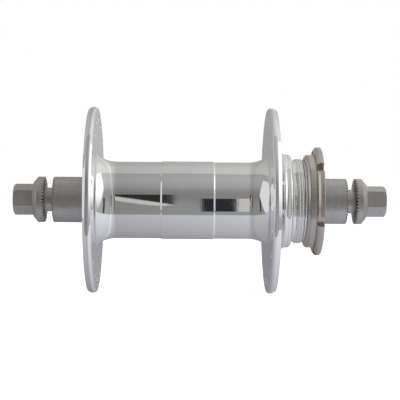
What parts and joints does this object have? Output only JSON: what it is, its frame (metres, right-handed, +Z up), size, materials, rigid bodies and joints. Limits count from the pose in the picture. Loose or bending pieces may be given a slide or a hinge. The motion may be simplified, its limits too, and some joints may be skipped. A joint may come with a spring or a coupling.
{
  "type": "track rear hub",
  "caption": "Track bicycle rear hub: polished shell with two high drilled flanges, cog thread, lockring, and an axle held by serrated washers and hex bolts.",
  "frame": {"origin": "on the axle's axis, midway between the two serrated faces that the dropouts rest on", "axes": "+Y along the axle towards the non-drive side, so that +Y is the wheel's spin axis for forward travel along +X; +Z up; the drive side is at -Y"},
  "size_m": [0.076, 0.1524, 0.076],
  "materials": {
    "polished_aluminium": "mirror polished",
    "lockring_steel": "satin, turned",
    "stainless_steel": "satin, turned",
    "race_steel": "ground",
    "ball_steel": "polished",
    "cage_brass": "pressed",
    "seal_rubber": "moulded"
  },
  "bodies": {
    "axle_assembly": {"axle": "stainless_steel", "left_end_cap": "stainless_steel", "right_end_cap": "stainless_steel", "left_inner_race": "race_steel", "right_inner_race": "race_steel"},
    "hub": {"hub_shell": "polished_aluminium", "left_outer_race": "race_steel", "left_outer_seal": "seal_rubber", "left_inner_seal": "seal_rubber", "right_outer_race": "race_steel", "right_outer_seal": "seal_rubber", "right_inner_seal": "seal_rubber"},
    "lockring": {"lockring": "lockring_steel"},
    "left_ball_set": {"left_balls": "ball_steel", "left_cage": "cage_brass"},
    "right_ball_set": {"right_balls": "ball_steel", "right_cage": "cage_brass"},
    "left_washer": {"left_serrated_washer": "stainless_steel"},
    "left_bolt": {"left_axle_bolt": "stainless_steel"},
    "right_washer": {"right_serrated_washer": "stainless_steel"},
    "right_bolt": {"right_axle_bolt": "stainless_steel"}
  },
  "joints": [
    {"name": "hub_spin", "type": "hinge", "parent": "axle_assembly", "child": "hub", "pos_m": [0, 0, 0], "axis": [0, 1, 0], "continuous": true},
    {"name": "left_balls_roll", "type": "hinge", "parent": "axle_assembly", "child": "left_ball_set", "pos_m": [0, 0.0412, 0], "axis": [0, 1, 0], "continuous": true},
    {"name": "right_balls_roll", "type": "hinge", "parent": "axle_assembly", "child": "right_ball_set", "pos_m": [0, -0.0447, 0], "axis": [0, 1, 0], "continuous": true},
    {"name": "lockring_slide", "type": "slide", "parent": "hub", "child": "lockring", "axis": [0, -1, 0], "range_m": [0, 0.035]},
    {"name": "left_washer_slide", "type": "slide", "parent": "axle_assembly", "child": "left_washer", "axis": [0, 1, 0], "range_m": [-0.0033, 0.01]},
    {"name": "left_bolt_turn", "type": "hinge", "parent": "left_washer", "child": "left_bolt", "pos_m": [0, 0.0663, 0], "axis": [0, 1, 0], "range_deg": [-1189, 3601]},
    {"name": "right_washer_slide", "type": "slide", "parent": "axle_assembly", "child": "right_washer", "axis": [0, -1, 0], "range_m": [-0.0033, 0.01]},
    {"name": "right_bolt_turn", "type": "hinge", "parent": "right_washer", "child": "right_bolt", "pos_m": [0, -0.0663, 0], "axis": [0, -1, 0], "range_deg": [-1189, 3601]}
  ],
  "couplings": [
    {"joint": "left_balls_roll", "follows": "hub_spin", "ratio": 0.58139},
    {"joint": "right_balls_roll", "follows": "hub_spin", "ratio": 0.58139},
    {"joint": "left_bolt_turn", "follows": "left_washer_slide", "rad_per_m": 6283.2},
    {"joint": "right_bolt_turn", "follows": "right_washer_slide", "rad_per_m": 6283.2}
  ]
}
